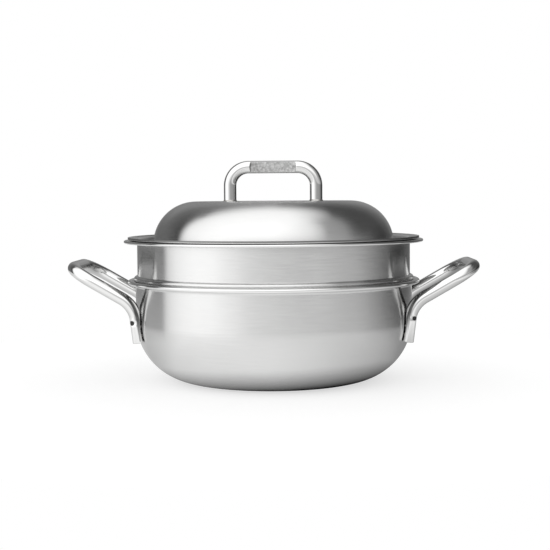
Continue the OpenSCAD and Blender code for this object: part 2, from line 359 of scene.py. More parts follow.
def pot_skin():
    end_r = rim_roll[0] - RIM_ROLL_R - BOND_GAP
    outside = pot_rail(POT_T / 2, end_r)
    inside = pot_rail(POT_T / 2 - SKIN_T, end_r)
    skin, _ = lathe([(outside, SHEET), ([outside[-1]] + inside[::-1], SHEET)])
    return skin.to_object("pot_outside")


def pot_liner():
    high = rim_line_z + POT_T / 2 - rim_roll[1]
    roll = rolled_edge(rim_roll, RIM_ROLL_R, 0, high - LINER_T, high)
    under = pot_rail(LINER_T - POT_T / 2, roll[0][0])
    inside = pot_rail(-POT_T / 2, roll[-1][0])
    skin, _ = lathe([(under, SHEET), (roll, EDGE), (inside[::-1], SHEET)])
    return skin.to_object("pot_inside_and_rim")


def sheet_runs(start, arcs, end, edge, thickness):
    """Runs of a sheet: under side, the runs round its edge, and upper side. end is (point, heading)."""
    under = rail(start, arcs, end, thickness / 2)[:-1] + edge[0][0][:1]
    over = rail(start, arcs, end, -thickness / 2)[:-1] + edge[-1][0][-1:]
    return [(filled_in(under), SHEET), *edge, (filled_in(over)[::-1], SHEET)]


# Insert: places on the centre line of its sheet. Its bead seats on the shoulder of the pot's rim
insert_wall_r = POT_R + INSERT_WALL_OUT - INSERT_T / 2
mouth_r = insert_wall_r - INSERT_T / 2
skirt_r = POT_R - SKIRT_ROOM - INSERT_T / 2
insert_floor = POT_H - INSERT_DEPTH + INSERT_T / 2
insert_corner = (skirt_r - INSERT_CORNER_R, insert_floor + INSERT_CORNER_R)
bead_side_r = BEAD_R + INSERT_T / 2
bead_centre_r = POT_R + BEAD_OUT - bead_side_r
seat_reach = RIM_SHOULDER_R + bead_side_r + SEAT_GAP
bead_rise = math.sqrt(seat_reach ** 2 - (rim_centre[0] - bead_centre_r) ** 2)
bead_centre = (bead_centre_r, POT_H - RIM_ROLL_RISE - RIM_SHOULDER_R + bead_rise)
flange_top = POT_H + INSERT_RISE
flange_centre = (insert_wall_r + FLANGE_SHOULDER_R, flange_top - INSERT_T / 2 - FLANGE_SHOULDER_R)
flange_start = polar(flange_centre, FLANGE_SHOULDER_R, 90 - FLANGE_FALL)
flange_roll_r = insert_wall_r + INSERT_T / 2 + FLANGE_OUT - FLANGE_ROLL_R
flange_roll = slope_point(flange_start, flange_roll_r, -FLANGE_FALL)
steam_rings = math.floor((insert_corner[0] - 2 * STEAM_HOLE_R) / STEAM_HOLE_PITCH)


def steam_hole_centres():
    """The centre hole and rings of holes, six more in each ring."""
    centres = [(0.0, 0.0)]
    for ring in range(1, steam_rings + 1):
        centres += [polar((0, 0), ring * STEAM_HOLE_PITCH, 60 * k / ring) for k in range(6 * ring)]
    return centres


def hole_points(centre, radius):
    return [polar(centre, radius, 360 * k / HOLE_STEPS) for k in range(HOLE_STEPS)]


def plate_triangles(border, centres, hole_r):
    """Flat triangles inside a border and outside round holes.
    They are indices of the border's points and then of the holes' points."""
    points = [Vector(p) for p in border]
    edges = loop_edges(0, len(border))
    for centre in centres:
        edges += loop_edges(len(points), HOLE_STEPS)
        points += [Vector(p) for p in hole_points(centre, hole_r)]
    flat, _, triangles, origin, _, _ = delaunay_2d_cdt(points, edges, [], INSIDE_BORDER, TINY)
    kept = []
    for triangle in triangles:
        middle = sum((flat[i] for i in triangle), Vector((0, 0))) / 3
        if min(math.dist(middle, c) for c in centres) > hole_r * math.cos(math.pi / HOLE_STEPS):
            kept.append([origin[i][0] for i in triangle])
    return kept


def add_perforated_floor(skin, under, over):
    """Closes the insert's shell with its floor.
    The floor is two plates with holes, and the holes' walls with broken edges."""
    centres = steam_hole_centres()
    half = INSERT_T / 2
    edge_r = STEAM_HOLE_R + STEAM_HOLE_EDGE
    triangles = plate_triangles([skin.points[i][:2] for i in under], centres, edge_r)
    levels = []
    for rise, radius in ((-half, edge_r), (STEAM_HOLE_EDGE - half, STEAM_HOLE_R),
                         (half - STEAM_HOLE_EDGE, STEAM_HOLE_R), (half, edge_r)):
        level = []
        for centre in centres:
            for x, y in hole_points(centre, radius):
                place = (x, y, insert_floor + rise)
                level.append(skin.add_point(place, math.atan2(y, x), math.hypot(x, y)))
        levels.append(level)
    for triangle in triangles:
        skin.add_face([(under + levels[0])[i] for i in triangle])
        skin.add_face([(over + levels[-1])[i] for i in triangle])
    for low, high in zip(levels, levels[1:]):
        for hole in range(len(centres)):
            for a, b in loop_edges(hole * HOLE_STEPS, HOLE_STEPS):
                skin.add_face([low[a], low[b], high[b], high[a]])


def steamer_insert():
    blend_reach = BEAD_R + BEAD_BLEND_R
    arcs = [
        (insert_corner, INSERT_CORNER_R, 270, 360),
        ((skirt_r + BEAD_BLEND_R, bead_centre[1] - blend_reach), BEAD_BLEND_R, 180, 90),
        (bead_centre, BEAD_R, 270, 450),
        ((insert_wall_r + BEAD_BLEND_R, bead_centre[1] + blend_reach), BEAD_BLEND_R, 270, 180),
        (flange_centre, FLANGE_SHOULDER_R, 180, 90 - FLANGE_FALL),
    ]
    start = ((insert_corner[0], insert_floor), 0)
    roll = rolled_edge(flange_roll, FLANGE_ROLL_R, -FLANGE_FALL, -INSERT_T / 2, INSERT_T / 2)
    skin, rings = lathe(sheet_runs(start, arcs, (flange_roll, -FLANGE_FALL), [(roll, EDGE)], INSERT_T))
    add_perforated_floor(skin, rings[0], rings[-1])
    return skin.to_object("insert_shell")


# Lid: places on the centre line of its sheet. Its brim lies on the flange, its groove in the insert's mouth
lid_top = flange_top + LID_RISE
dome_centre = (mouth_r - DOME_INSET - DOME_R, lid_top - LID_T / 2 - DOME_R)
brim_bend_out = (BRIM_R - LID_T / 2) * math.cos(math.radians(GROOVE_LEAN))
brim_centre = (mouth_r - LID_PLAY + brim_bend_out, flange_top + SEAT_GAP + LID_T / 2 - BRIM_R)
groove_outer = polar(brim_centre, GROOVE_R + BRIM_R, 180 - GROOVE_LEAN)
dome_end = math.degrees(math.asin((groove_outer[1] - dome_centre[1]) / (DOME_R + GROOVE_R)))
groove_inner = polar(dome_centre, DOME_R + GROOVE_R, dome_end)
brim_start = polar(brim_centre, BRIM_R, 90 + BRIM_LIFT)
brim_roll = slope_point(brim_start, mouth_r + BRIM_OUT - BRIM_ROLL_R, BRIM_LIFT)


def brim_hem():
    """Runs round the brim's rolled edge, which is pressed flat on the outside."""
    roll = rolled_edge(brim_roll, BRIM_ROLL_R, BRIM_LIFT, -LID_T / 2, LID_T / 2)
    inner = [p for p in roll if p[0] < brim_roll[0]]
    under = [p for p in inner if p[1] < brim_roll[1]]
    over = [p for p in inner if p[1] > brim_roll[1]]
    face_r = brim_roll[0] + BRIM_ROLL_R
    low = (face_r - HEM_LOW_R, brim_roll[1] - BRIM_ROLL_R + HEM_LOW_R)
    high = (face_r - HEM_HIGH_R, brim_roll[1] + BRIM_ROLL_R - HEM_HIGH_R)
    face = [(face_r, low[1] + (high[1] - low[1]) * share) for share in (0, HEM_END, 1 - HEM_END)]
    lower = under + arc_points(low, HEM_LOW_R, 270, 360)
    upper = face + arc_points(high, HEM_HIGH_R, 360, 450)
    return [(lower, EDGE), (upper, HEM), (upper[-1:] + over, EDGE)]


def lid_shell():
    arcs = [
        (dome_centre, DOME_R, 90, dome_end),
        (groove_inner, GROOVE_R, 180 + dome_end, 270),
        (groove_outer, GROOVE_R, 270, 360 - GROOVE_LEAN),
        (brim_centre, BRIM_R, 180 - GROOVE_LEAN, 90 + BRIM_LIFT),
    ]
    start = ((0, lid_top - LID_T / 2), 0)
    skin, _ = lathe(sheet_runs(start, arcs, (brim_roll, BRIM_LIFT), brim_hem(), LID_T))
    return skin.to_object("lid_dome")


class RodPath:
    """Stations along a rod's centre line, as (point, side, up, distance from the start).
    Side and up are square to the rod and to one another."""

    def __init__(self, start, along, side):
        self.point = Vector(start)
        self.along = Vector(along)
        self.side = Vector(side)
        self.length = 0.0
        self.stations = []
        self.keep()

    def keep(self):
        up = self.along.cross(self.side)
        self.stations.append((self.point.copy(), self.side.copy(), up, self.length))

    def run(self, length, step):
        count = math.ceil(length / step)
        for _ in range(count):
            self.point = self.point + self.along * (length / count)
            self.length += length / count
            self.keep()

    def turn(self, radius, angle, towards, steps):
        centre = self.point + towards * radius
        axis = self.along.cross(towards)
        spoke, along, side = self.point - centre, self.along, self.side
        for k in range(1, steps + 1):
            turned = Matrix.Rotation(math.radians(angle * k / steps), 3, axis)
            self.point = centre + turned @ spoke
            self.along = turned @ along
            self.side = turned @ side
            self.length += math.radians(angle) * radius / steps
            self.keep()


def spread(*ranges):
    """Angles in degrees from ranges of (first, last, steps), without the last one's end."""
    return [first + (last - first) * k / steps for first, last, steps in ranges for k in range(steps)]


# No painted shade
def no_painted_shade(ring, step):
    return 0.0


def rod_object(name, half_rings, mirror, pressed, painted_shade_at=no_painted_shade):
    """Skins a rod from the rings of its first half. mirror turns a point into its twin on the other half.
    pressed holds a (ring, step) for each face of the first half that has the second material: a milled
    flat, or painted shade.
    The last argument gives the painted shade at a (ring, step) of the first half."""
    rings = half_rings + [[mirror(p) for p in ring] for ring in half_rings[-2::-1]]
    count = len(rings[0])
    last = len(rings) - 1
    middles = [sum(ring, Vector()) / count for ring in rings]
    skin = Skin()
    rows = []
    along = 0.0
    for k, ring in enumerate(rings):
        along += (middles[k] - middles[k - 1]).length if k else 0.0
        half_k = min(k, last - k)
        rows.append([skin.add_point(p, 2 * math.pi * j / count, along, painted_shade_at(half_k, j))
                     for j, p in enumerate(ring)])
    for k, (a, b) in enumerate(zip(rows, rows[1:])):
        half_k = min(k, last - 1 - k)
        for j, n in loop_edges(0, count):
            skin.add_face([a[j], a[n], b[n], b[j]], MARKED_OR_SHADED if (half_k, j) in pressed else ROD)
    for k in (0, last):
        hub = skin.add_point(middles[k], 0.0, along if k else 0.0)
        for j, n in loop_edges(0, count):
            skin.add_face([rows[k][j], rows[k][n], hub])
    return skin.to_object(name)


def flat_angle(radius, depth):
    """Half the angle that a flat of this depth takes up on a rod."""
    return math.degrees(math.acos((radius - depth) / radius))


def ring_point(point, side, up, radius, angle, flat_depth, flat_turn):
    """A point on a rod's skin. Angles run from up to side, and the flat is turned by flat_turn."""
    from_flat = math.radians(angle - flat_turn)
    turn = math.radians(flat_turn)
    rise = min(radius * math.cos(from_flat), radius - flat_depth)
    across = radius * math.sin(from_flat)
    up_part = rise * math.cos(turn) - across * math.sin(turn)
    side_part = rise * math.sin(turn) + across * math.cos(turn)
    return point + up * up_part + side * side_part


def wall_radius(z):
    """Radius of the pot's outside, grown by the gap under the feet, at a height."""
    if z >= POT_CORNER_R:
        return pot_outer_r + FOOT_GAP
    corner = POT_CORNER_R + FOOT_GAP
    return pot_corner[0] + math.sqrt(corner ** 2 - (POT_CORNER_R - z) ** 2)


def wall_depth(p):
    """How far a point lies inside that radius."""
    return wall_radius(p.z) - math.hypot(p.x, p.y)


def crossing(inside_angle, outside_angle, depth_at):
    """The angle between the two at which the rod's skin meets the wall."""
    for _ in range(HALVINGS):
        middle = (inside_angle + outside_angle) / 2
        if depth_at(middle) > 0:
            inside_angle = middle
        else:
            outside_angle = middle
    return inside_angle


def back_range(depth_at):
    """First and last angle of the rod's back that the wall cuts off, or the usual ones."""
    searched = range(BACK_SEARCH[0], BACK_SEARCH[1] + 1, BACK_SEARCH_STEP)
    inside = [angle for angle in searched if depth_at(angle) > 0]
    if not inside or inside[-1] - inside[0] < USUAL_BACK[1] - USUAL_BACK[0]:
        return USUAL_BACK
    first = crossing(inside[0], inside[0] - BACK_SEARCH_STEP, depth_at)
    last = crossing(inside[-1], inside[-1] + BACK_SEARCH_STEP, depth_at)
    return (first, last)


# Side handle: bar, foot line, and the elbow where foot and leg would meet, as (x, z)
side_bar = (pot_outer_r + SIDE_REACH, POT_TOP + SIDE_RISE)
leg_run = 1 / math.tan(math.radians(SIDE_SLOPE))
foot_run = math.tan(math.radians(FOOT_LEAN))
foot_line_x = math.sqrt((pot_outer_r + FOOT_STANDOFF) ** 2 - SIDE_HALF ** 2) - foot_run * POT_CORNER_R
elbow_z = (foot_line_x - side_bar[0] + leg_run * side_bar[1]) / (leg_run - foot_run)
elbow = (foot_line_x + foot_run * elbow_z, elbow_z)
bend_turn = 90 - FOOT_LEAN - SIDE_SLOPE
bend_tangent = SIDE_BEND_R * math.tan(math.radians(bend_turn / 2))
side_leg_l = math.dist(side_bar, elbow) - bend_tangent
foot_l = (elbow_z - POT_TOP + FOOT_DROP) / math.cos(math.radians(FOOT_LEAN)) - bend_tangent


def side_handle_path():
    """Right-hand handle, from the front foot's lower end to the middle of the bar."""
    lean = math.radians(FOOT_LEAN)
    foot_up = Vector((math.sin(lean), 0, math.cos(lean)))
    foot_out = Vector((math.cos(lean), 0, -math.sin(lean)))
    foot_end = Vector((elbow[0], -SIDE_HALF, elbow[1])) - foot_up * (bend_tangent + foot_l)
    path = RodPath(foot_end, foot_up, (0, -1, 0))
    path.run(FOOT_EDGE_R, FOOT_END_STEP)
    path.run(foot_l - FOOT_EDGE_R - DENT_L, FOOT_STEP)
    path.run(DENT_L, DENT_STEP)
    path.turn(SIDE_BEND_R, bend_turn, foot_out, SIDE_BEND_STEPS)
    path.run(side_leg_l - SIDE_CORNER_R, SIDE_ROD_STEP)
    path.turn(SIDE_CORNER_R, 90, Vector((0, 1, 0)), SIDE_CORNER_STEPS)
    path.run(SIDE_HALF - SIDE_CORNER_R, SIDE_ROD_STEP)
    return path.stations


def foot_flat_depth(length, flat_l):
    """Depth of a foot's flat at a distance from the foot's lower end, with the dent at its top."""
    below_top = flat_l - length
    if below_top <= 0:
        return 0.0
    flat = max(0.0, FOOT_FLAT - length * math.tan(math.radians(FOOT_FLAT_TAPER)))
    dent = 1 - (2 * below_top / DENT_L - 1) ** 2
    return flat * smooth_step(below_top / (FLAT_EASE * DENT_L)) + DENT_DEPTH * max(0.0, dent)


def side_handle_ring(point, side, up, length, flat_l):
    """Round on the leg. The foot has a flat pressed on it, and its back is cut to the pot's wall."""
    radius = SIDE_ROD_R + FOOT_SWELL * smooth_step(1 + (foot_l - length) / DENT_L)
    half_flat = flat_angle(SIDE_ROD_R, FOOT_FLAT)
    flat_first, flat_last = FOOT_FLAT_TURN - half_flat, FOOT_FLAT_TURN + half_flat
    depth = foot_flat_depth(length, flat_l)

    def at(angle):
        return ring_point(point, side, up, radius, angle, depth, FOOT_FLAT_TURN)

    first, last = back_range(lambda angle: wall_depth(at(angle)))
    angles = spread((flat_first, flat_last, FLAT_STEPS), (flat_last, first, FLANK_STEPS),
                    (first, last, BACK_STEPS), (last, 360 + flat_first, FLANK_STEPS))
    left = max(0.0, FOOT_EDGE_R - length)
    shrink = 1 - (FOOT_EDGE_R - math.sqrt(FOOT_EDGE_R ** 2 - left ** 2)) / radius
    ring = []
    for angle in angles:
        p = point + (at(angle) - point) * shrink
        grow = max(1.0, wall_radius(p.z) / math.hypot(p.x, p.y))
        ring.append(Vector((p.x * grow, p.y * grow, p.z)))
    return ring


def side_handle_painted_shade(length, angle):
    """How dark a side handle is painted as shade, from 0 to 1.
    length is the distance from the foot's lower end, and angle goes round the rod."""
    above_foot = length - foot_l
    at_wall = hump(angle, PAINTED_SHADE_WALL_FROM, PAINTED_SHADE_WALL_TO)
    turned = PAINTED_SHADE_STREAK_TURN * max(0.0, above_foot - PAINTED_SHADE_STREAK_LOW[1])
    streak = hump(angle - turned, PAINTED_SHADE_STREAK_FROM, PAINTED_SHADE_STREAK_TO)
    streak *= ramp(above_foot, PAINTED_SHADE_STREAK_LOW)
    return max(at_wall, streak) * (1 - ramp(above_foot, PAINTED_SHADE_BEND))


def spot_faces(stations, flat_l, count):
    """(ring, step) of the faces of the painted shade in the dent, a dark spot, on a rod with count steps
    round it.
    """
    faces = set()
    for k, (_, _, _, length) in enumerate(stations):
        height = (2 * (flat_l - length) / DENT_L - 1) / SPOT_HEIGHT
        if abs(height) < 1:
            half_width = SPOT_STEPS * math.sqrt(1 - height ** 2)
            middles = ((j, j + 0.5) for j in range(-count, count))
            faces |= {(k, j % count) for j, middle in middles if abs(middle - SPOT_MIDDLE) < half_width}
    return faces


def wall_faces(rings):
    """(ring, step) of the faces of a foot's back where the wall cuts it. They get painted shade."""
    first = FLAT_STEPS + FLANK_STEPS
    back = range(first, first + BACK_STEPS)
    cut = [k for k, ring in enumerate(rings) if all(wall_depth(ring[j]) > -WALL_TOUCH for j in back)]
    return {(k, j) for k in cut for j in back}


def side_handle(name, sign, flat_rise):
    """sign is 1 for the right-hand handle and -1 for the left-hand one.
    flat_rise is how far above the straight part of a foot its flat reaches."""
    flat_l = foot_l + flat_rise
    stations = side_handle_path()
    right_rings = [side_handle_ring(*station, flat_l) for station in stations]
    rings = [[Vector((sign * p.x, p.y, p.z)) for p in ring] for ring in right_rings]
    # Faces painted nearly black as shade: the spot in the dent and the back against the wall
    painted_shade_faces = spot_faces(stations, flat_l, len(rings[0])) | wall_faces(rings)

    # Painted shade at a point of the first half
    def painted_shade_at(k, j):
        point, side, up, length = stations[k]
        out = right_rings[k][j] - point
        angle = math.degrees(math.atan2(out.dot(side), out.dot(up))) % 360
        return side_handle_painted_shade(length, angle)

    return rod_object(name, rings, lambda p: Vector((p.x, -p.y, p.z)), painted_shade_faces, painted_shade_at)


def lid_handle():
    path = RodPath((-LID_HALF, 0, LID_LEG_END), (0, 0, 1), (-1, 0, 0))
    path.run(LID_BAR_Z - LID_CORNER_R - LID_LEG_END, LID_ROD_STEP)
    path.turn(LID_CORNER_R, 90, Vector((1, 0, 0)), LID_CORNER_STEPS)
    path.run(LID_HALF - LID_CORNER_R - BAR_FLAT_HALF, BAR_END_STEP)
    path.run(BAR_FLAT_RAMP, BAR_RAMP_STEP)
    path.run(BAR_FLAT_HALF - BAR_FLAT_RAMP, LID_ROD_STEP)
    half_flat = flat_angle(LID_ROD_R, BAR_FLAT)
    round_steps = 2 * FLANK_STEPS + BACK_STEPS
    angles = spread((-half_flat, half_flat, FLAT_STEPS), (half_flat, 360 - half_flat, round_steps))
    rings = []
    milled = set()
    for k, (point, side, up, _) in enumerate(path.stations):
        on_bar = abs(point.z - LID_BAR_Z) < ON_BAR
        milled_share = smooth_step((BAR_FLAT_HALF - abs(point.x)) / BAR_FLAT_RAMP) if on_bar else 0.0
        depth = BAR_FLAT * milled_share
        rings.append([ring_point(point, side, up, LID_ROD_R, angle, depth, 0) for angle in angles])
        if milled_share > MILLED_FROM:
            milled |= {(k, j) for j in range(FLAT_STEPS)}
    return rod_object("lid_bow", rings, lambda p: Vector((-p.x, p.y, p.z)), milled)


def node_tree(material):
    material.use_nodes = True
    material.node_tree.nodes.clear()
    return material.node_tree


def add(tree, kind, **settings):
    """A new node. Settings name its properties, or its inputs with spaces as underscores."""
    node = tree.nodes.new(kind)
    for key, value in settings.items():
        if hasattr(node, key):
            setattr(node, key, value)
        else:
            node.inputs[key.replace("_", " ")].default_value = value
    return node


def noise(tree, vector, scale, detail, roughness):
    node = add(tree, "ShaderNodeTexNoise", Scale=scale, Detail=detail, Roughness=roughness)
    tree.links.new(vector, node.inputs["Vector"])
    return node.outputs["Fac"]


def map_range(tree, value, low, high, to_low, to_high):
    node = add(tree, "ShaderNodeMapRange", From_Min=low, From_Max=high, To_Min=to_low, To_Max=to_high)
    tree.links.new(value, node.inputs["Value"])
    return node.outputs["Result"]


def math_node(tree, operation, a, b=None):
    node = add(tree, "ShaderNodeMath", operation=operation)
    for socket, value in zip(node.inputs, (a, b)):
        if isinstance(value, bpy.types.NodeSocket):
            tree.links.new(value, socket)
        elif value is not None:
            socket.default_value = value
    return node.outputs["Value"]


# The colour sockets of a Mix node, whose names its other sockets share
MIX_A, MIX_B, MIX_RESULT = 6, 7, 2


def mix_colour(tree, factor, a, b):
    node = add(tree, "ShaderNodeMix", data_type="RGBA")
    for key, value in (("Factor", factor), (MIX_A, a), (MIX_B, b)):
        if isinstance(value, bpy.types.NodeSocket):
            tree.links.new(value, node.inputs[key])
        else:
            node.inputs[key].default_value = value
    return node.outputs[MIX_RESULT]


# Noise behind the metal's lines and smudges, as (detail, roughness), and the lines' share of the tone
LINE_NOISE = (3.0, 0.6)
SMUDGE_NOISE = (3.0, 0.55)
SMUDGE_SCALE = 22.0
LINE_SHARE = 0.6
# Ranges of the tone over which roughness and colour change
ROUGH_SPAN = (0.35, 0.65)
COLOUR_SPAN = (0.3, 0.7)
# Turn of the anisotropy that draws highlights out across the lines, as a share of a whole turn
ACROSS_LINES = 0.25


def steel(name, tones, rough, lines, line_depth, anisotropy=0.0, painted_shade=None):
    """Metal with fine lines, faint smudges and a tone that wanders a little.
    tones and rough are (least, most). lines is (attribute or "", scale): the lines follow that attribute of
    the mesh, or the place on the object, and change at that rate along each of its axes. line_depth is in
    metres. The last argument is the colour of painted shade, put where the mesh marks it."""
    material = bpy.data.materials.new(name)
    tree = node_tree(material)
    link = tree.links.new
    output = add(tree, "ShaderNodeOutputMaterial")
    shader = add(tree, "ShaderNodeBsdfPrincipled", Metallic=1.0, Anisotropic=anisotropy)
    place = add(tree, "ShaderNodeTexCoord").outputs["Object"]
    attribute, scale = lines
    grain = place
    if attribute:
        grain = add(tree, "ShaderNodeAttribute", attribute_name=attribute).outputs["Vector"]
    stretched = add(tree, "ShaderNodeVectorMath", operation="MULTIPLY")
    stretched.inputs[1].default_value = scale
    link(grain, stretched.inputs[0])
    line = noise(tree, stretched.outputs["Vector"], 1.0, *LINE_NOISE)
    smudge = noise(tree, place, SMUDGE_SCALE, *SMUDGE_NOISE)
    line_part = math_node(tree, "MULTIPLY", line, LINE_SHARE)
    smudge_part = math_node(tree, "MULTIPLY", smudge, 1 - LINE_SHARE)
    tone = math_node(tree, "ADD", line_part, smudge_part)
    link(map_range(tree, tone, *ROUGH_SPAN, *rough), shader.inputs["Roughness"])
    tints = add(tree, "ShaderNodeValToRGB")
    for element, position, tint in zip(tints.color_ramp.elements, COLOUR_SPAN, tones):
        element.position = position
        element.color = (*tint, 1)
    link(tone, tints.inputs["Fac"])
    colour = tints.outputs["Color"]
    # Painted shade: the colour darkens towards this one where the mesh marks it
    if painted_shade:
        marked = add(tree, "ShaderNodeAttribute", attribute_name="painted_shade").outputs["Fac"]
        colour = mix_colour(tree, marked, colour, painted_shade)
    link(colour, shader.inputs["Base Color"])
    bump = add(tree, "ShaderNodeBump", Strength=1.0, Distance=line_depth)
    link(line, bump.inputs["Height"])
    link(bump.outputs["Normal"], shader.inputs["Normal"])
    if anisotropy:
        shader.inputs["Anisotropic Rotation"].default_value = ACROSS_LINES
        tangent = add(tree, "ShaderNodeTangent", direction_type="RADIAL", axis="Z")
        link(tangent.outputs["Tangent"], shader.inputs["Tangent"])
    link(shader.outputs["BSDF"], output.inputs["Surface"])
    return material


# Least and most tone of each finish
SHEET_TONES = ((0.62, 0.62, 0.617), (0.67, 0.67, 0.666))
ROD_TONES = ((0.69, 0.69, 0.685), (0.76, 0.76, 0.755))
# The brim's flattened face is painted dark: painted shade along the brim's edge
HEM_SHADE_TONES = ((0.18, 0.18, 0.179), (0.25, 0.25, 0.248))
MILLED_TONES = ((0.20, 0.20, 0.198), (0.80, 0.80, 0.795))
# Tones of the painted shade on the side handles' feet
PAINTED_SHADE_TONES = ((0.03, 0.03, 0.03), (0.07, 0.07, 0.068))
WELD_TONES = ((0.40, 0.39, 0.38), (0.52, 0.51, 0.49))
ALUMINIUM_TONES = ((0.70, 0.70, 0.71), (0.79, 0.79, 0.80))
# Colour of the painted shade on the side handles
PAINTED_SHADE_COLOUR = (0.10, 0.10, 0.099, 1)
# Brushed lines run round a shell: slow round the axis, and one to several in a millimetre along the section
TURNED_LINES = ("grain", (6.0, 6.0, 1400.0))
# Polishing lines run along a rod
POLISH_LINES = ("grain", (9.0, 9.0, 40.0))
PLAIN_GRAIN = ("", (900.0, 900.0, 900.0))
MILLED_GRAIN = ("", (500.0, 500.0, 500.0))

brushed = steel("brushed_steel", SHEET_TONES, (0.17, 0.23), TURNED_LINES, 8e-7, anisotropy=0.97)
satin_inside = steel("satin_inside", SHEET_TONES, (0.26, 0.38), TURNED_LINES, 1.2e-6, anisotropy=0.7)
polished_edge = steel("polished_edge", ROD_TONES, (0.09, 0.15), TURNED_LINES, 4e-7)
# Painted shade: the brim's flattened face is darkened into a dark line
hem_painted_shade = steel("hem_painted_shade", HEM_SHADE_TONES, (0.35, 0.50), TURNED_LINES, 1e-6)
# The side handles' rod steel darkens to painted shade where their meshes mark it
polished_rod = steel("polished_rod", ROD_TONES, (0.03, 0.07), POLISH_LINES, 1e-5, painted_shade=PAINTED_SHADE_COLOUR)
milled_flat = steel("milled_flat", MILLED_TONES, (0.30, 0.42), MILLED_GRAIN, 4e-5)
# Painted shade: nearly black steel for the dent's spot and the foot's back against the wall, where shade
# falls
painted_shade_steel = steel("painted_shade_steel", PAINTED_SHADE_TONES, (0.30, 0.45), PLAIN_GRAIN, 4e-6)
weld_metal = steel("weld_metal", WELD_TONES, (0.28, 0.45), PLAIN_GRAIN, 6e-5)
bare_aluminium = steel("bare_aluminium", ALUMINIUM_TONES, (0.35, 0.50), PLAIN_GRAIN, 8e-6)


def dress(piece, body, slot, nodes, *materials):
    """Puts a piece in place of CAD nodes, on its body, with its finish."""
    for material in materials:
        piece.data.materials.append(material)
    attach(piece, body)
    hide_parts(*nodes)


def paint_node(node, material):
    """Gives a CAD node that stays a better finish."""
    mesh_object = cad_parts[node]
    for slot in mesh_object.material_slots:
        slot.material = material


dress(pot_skin(), "pot", "pot_steel", ["pot_outer_skin"], brushed)
dress(pot_liner(), "pot", "liner_steel", ["pot_inner_liner"], satin_inside, polished_edge)
dress(steamer_insert(), "insert", "insert_steel", ["steamer_insert"], brushed, polished_edge)
dress(lid_shell(), "lid", "lid_steel", ["lid_shell"], brushed, polished_edge, hem_painted_shade)
for name, sign, flat_rise, node in (("side_bow_right", 1, RIGHT_FLAT_RISE, "right_side_handle"),
                                    ("side_bow_left", -1, LEFT_FLAT_RISE, "left_side_handle")):
    dress(side_handle(name, sign, flat_rise), "pot", "rod_steel", [node], polished_rod, painted_shade_steel)
dress(lid_handle(), "lid", "rod_steel", ["lid_handle"], polished_rod, milled_flat)
paint_node("pot_heat_core", bare_aluminium)
for node in ("left_handle_welds", "right_handle_welds", "lid_handle_welds"):
    paint_node(node, weld_metal)

# Studio, as rings of (azimuth from the camera's side towards +X, level), where 1 is white
GROUND_RING = [(-180, 0.62), (-112, 0.85), (-93, 1.08), (-78, 1.36), (-50, 1.42), (-13, 1.12),
               (25, 0.96), (55, 0.92), (80, 0.77), (105, 0.37), (125, 0.22), (180, 0.62)]
LOW_RING = [(-180, 0.35), (-165, 0.22), (-150, 0.16), (-120, 0.18), (-102, 0.08), (-95.5, 1.05),
            (-86, 1.38), (-65, 1.62), (-50, 1.55), (-35, 1.25), (-20, 1.00), (0, 0.83), (25, 0.74),
            (46, 0.70), (72, 0.58), (92, 0.31), (117, 0.08), (132, 0.05), (150, 0.12), (165, 0.25),
            (180, 0.35)]
PANEL_RING = [(-180, 0.38), (-150, 0.30), (-138, 0.20), (-120, 0.14), (-103, 0.08), (-93, 1.40),
              (-70, 1.52), (-45, 1.65), (0, 1.70), (19, 1.50), (37, 1.22), (46, 0.90), (54, 0.48),
              (74, 0.40), (86, 0.16), (97, 0.09), (130, 0.09), (150, 0.18), (165, 0.30), (180, 0.38)]
OVERHEAD = 1.5
# How far the panels' edges draw apart with height, and how many degrees they move to the right
PANEL_SPREAD = 0.28
PANEL_SHIFT = 6.0
# Rises (sine of elevation) between which one part of the studio gives way to the next
GROUND_TO_LOW = (-0.14, -0.06)
LOW_TO_PANEL = (0.17, 0.38)
PANEL_TO_TOP = (0.80, 0.98)
# A darker line at the horizon, in front and on the right: its share of shade, its rise, its half width at
# full shade and at none, and the azimuths between which it comes in
HORIZON_SHADE = 0.42
HORIZON_RISE = -0.01
HORIZON_WIDTH = (0.05, 0.085)
HORIZON_TURN = (-30, 10)
# How much the overhead light leans to the left
OVERHEAD_LEAN = 0.06


def azimuth_of(tree, x, y):
    """Degrees from the camera's side towards +X."""
    return math_node(tree, "DEGREES", math_node(tree, "ARCTAN2", x, math_node(tree, "MULTIPLY", y, -1.0)))


def level_ramp(tree, value, stops):
    """Levels along a value. stops holds (value, level) from its least to its greatest."""
    levels = add(tree, "ShaderNodeValToRGB")
    first, last = stops[0][0], stops[-1][0]
    tree.links.new(map_range(tree, value, first, last, 0.0, 1.0), levels.inputs["Fac"])
    elements = levels.color_ramp.elements
    while len(elements) < len(stops):
        elements.new(0.5)
    for element, (place, level) in zip(elements, stops):
        element.position = (place - first) / (last - first)
        element.color = (level, level, level, 1)
    return levels.outputs["Color"]


def background(tree, colour, strength):
    node = add(tree, "ShaderNodeBackground", Strength=strength)
    if isinstance(colour, bpy.types.NodeSocket):
        tree.links.new(colour, node.inputs["Color"])
    else:
        node.inputs["Color"].default_value = colour
    return node.outputs["Background"]


def mix_shader(tree, factor, a, b):
    node = add(tree, "ShaderNodeMixShader")
    for socket, value in zip(node.inputs, (factor, a, b)):
        tree.links.new(value, socket)
    return node.outputs["Shader"]


def ray_kinds(tree):
    """Two sockets: whether a ray comes from the camera, and whether it is mirrored or refracted."""
    path = add(tree, "ShaderNodeLightPath").outputs
    mirrored = math_node(tree, "MAXIMUM", path["Is Glossy Ray"], path["Is Transmission Ray"])
    return path["Is Camera Ray"], mirrored


WHITE = (1, 1, 1, 1)
BLACK = (0, 0, 0, 1)
# Level of the studio for rays that are neither the camera's nor mirrored
FILL_LEVEL = 0.85


